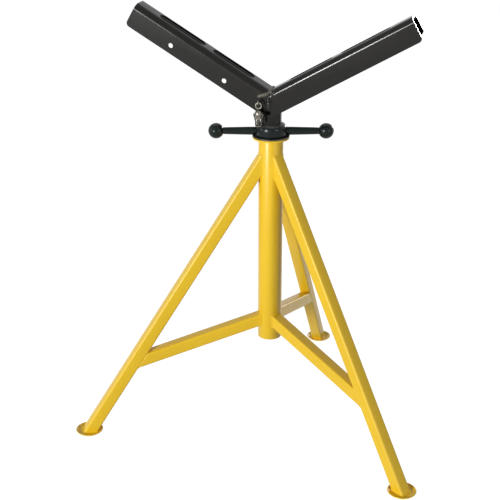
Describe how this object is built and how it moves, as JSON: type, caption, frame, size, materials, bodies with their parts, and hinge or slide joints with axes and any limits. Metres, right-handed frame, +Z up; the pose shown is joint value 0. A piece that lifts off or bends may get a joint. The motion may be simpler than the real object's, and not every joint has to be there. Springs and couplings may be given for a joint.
{
  "type": "pipe jack stand",
  "caption": "Free-standing tripod pipe stand with a screw jack: a handled nut raises a threaded rod that carries a slotted V-head for resting pipe at an adjustable height.",
  "frame": {"origin": "the column's axis at floor level", "axes": "+Z up along the column; +X along the V-head towards its arm without flange holes; -Y is the viewer's side, where the lock pin hangs"},
  "size_m": [0.8971, 0.8142, 1.08],
  "materials": {
    "yellow_paint": "gloss yellow paint over steel, worn a little at edges and welds",
    "black_paint": "semi-gloss black paint over formed steel plate",
    "green_paint": "dark green gloss enamel over cast iron",
    "zinc": "bright zinc plating",
    "steel": "bare machined steel, lightly oiled"
  },
  "bodies": {
    "stand": {"column_tube": "yellow_paint", "column_collar": "yellow_paint", "leg_1": "yellow_paint", "leg_2": "yellow_paint", "leg_3": "yellow_paint", "brace_1": "yellow_paint", "brace_2": "yellow_paint", "brace_3": "yellow_paint", "foot_pad_1": "yellow_paint", "foot_pad_2": "yellow_paint", "foot_pad_3": "yellow_paint"},
    "washer": {"thrust_washer": "steel"},
    "nut": {"jack_nut": "green_paint", "handle_arm_1": "green_paint", "handle_arm_2": "green_paint", "handle_ball_1": "green_paint", "handle_ball_2": "green_paint"},
    "screw": {"jack_screw": "steel", "stop_collar": "steel", "stop_pin": "steel"},
    "head": {"head_socket": "black_paint", "socket_cap": "black_paint", "left_arm": "black_paint", "right_arm": "black_paint", "lanyard_staple": "zinc"},
    "hanging_pin": {"lanyard_link": "zinc", "lock_pin": "zinc"},
    "bail": {"pin_bail": "zinc"}
  },
  "joints": [
    {"name": "swivel", "type": "hinge", "parent": "stand", "child": "washer", "pos_m": [0, 0, 0.7738], "axis": [0, 0, 1], "continuous": true},
    {"name": "nut_turn", "type": "hinge", "parent": "washer", "child": "nut", "pos_m": [0, 0, 0.7773], "axis": [0, 0, -1], "range_deg": [0, 18900]},
    {"name": "lift", "type": "slide", "parent": "washer", "child": "screw", "axis": [0, 0, 1], "range_m": [0, 0.42]},
    {"name": "head_lift_off", "type": "slide", "parent": "screw", "child": "head", "axis": [0, 0, 1], "range_m": [0, 0.055]},
    {"name": "pin_swing", "type": "hinge", "parent": "head", "child": "hanging_pin", "pos_m": [-0.021, -0.04, 0.8614], "axis": [0, 1, 0], "range_deg": [-30, 30]},
    {"name": "bail_swing", "type": "hinge", "parent": "hanging_pin", "child": "bail", "pos_m": [-0.021, -0.04, 0.8379], "axis": [-1, 0, 0], "range_deg": [0, 80]}
  ],
  "couplings": [
    {"joint": "lift", "follows": "nut_turn", "m_per_rad": 0.0012732}
  ]
}
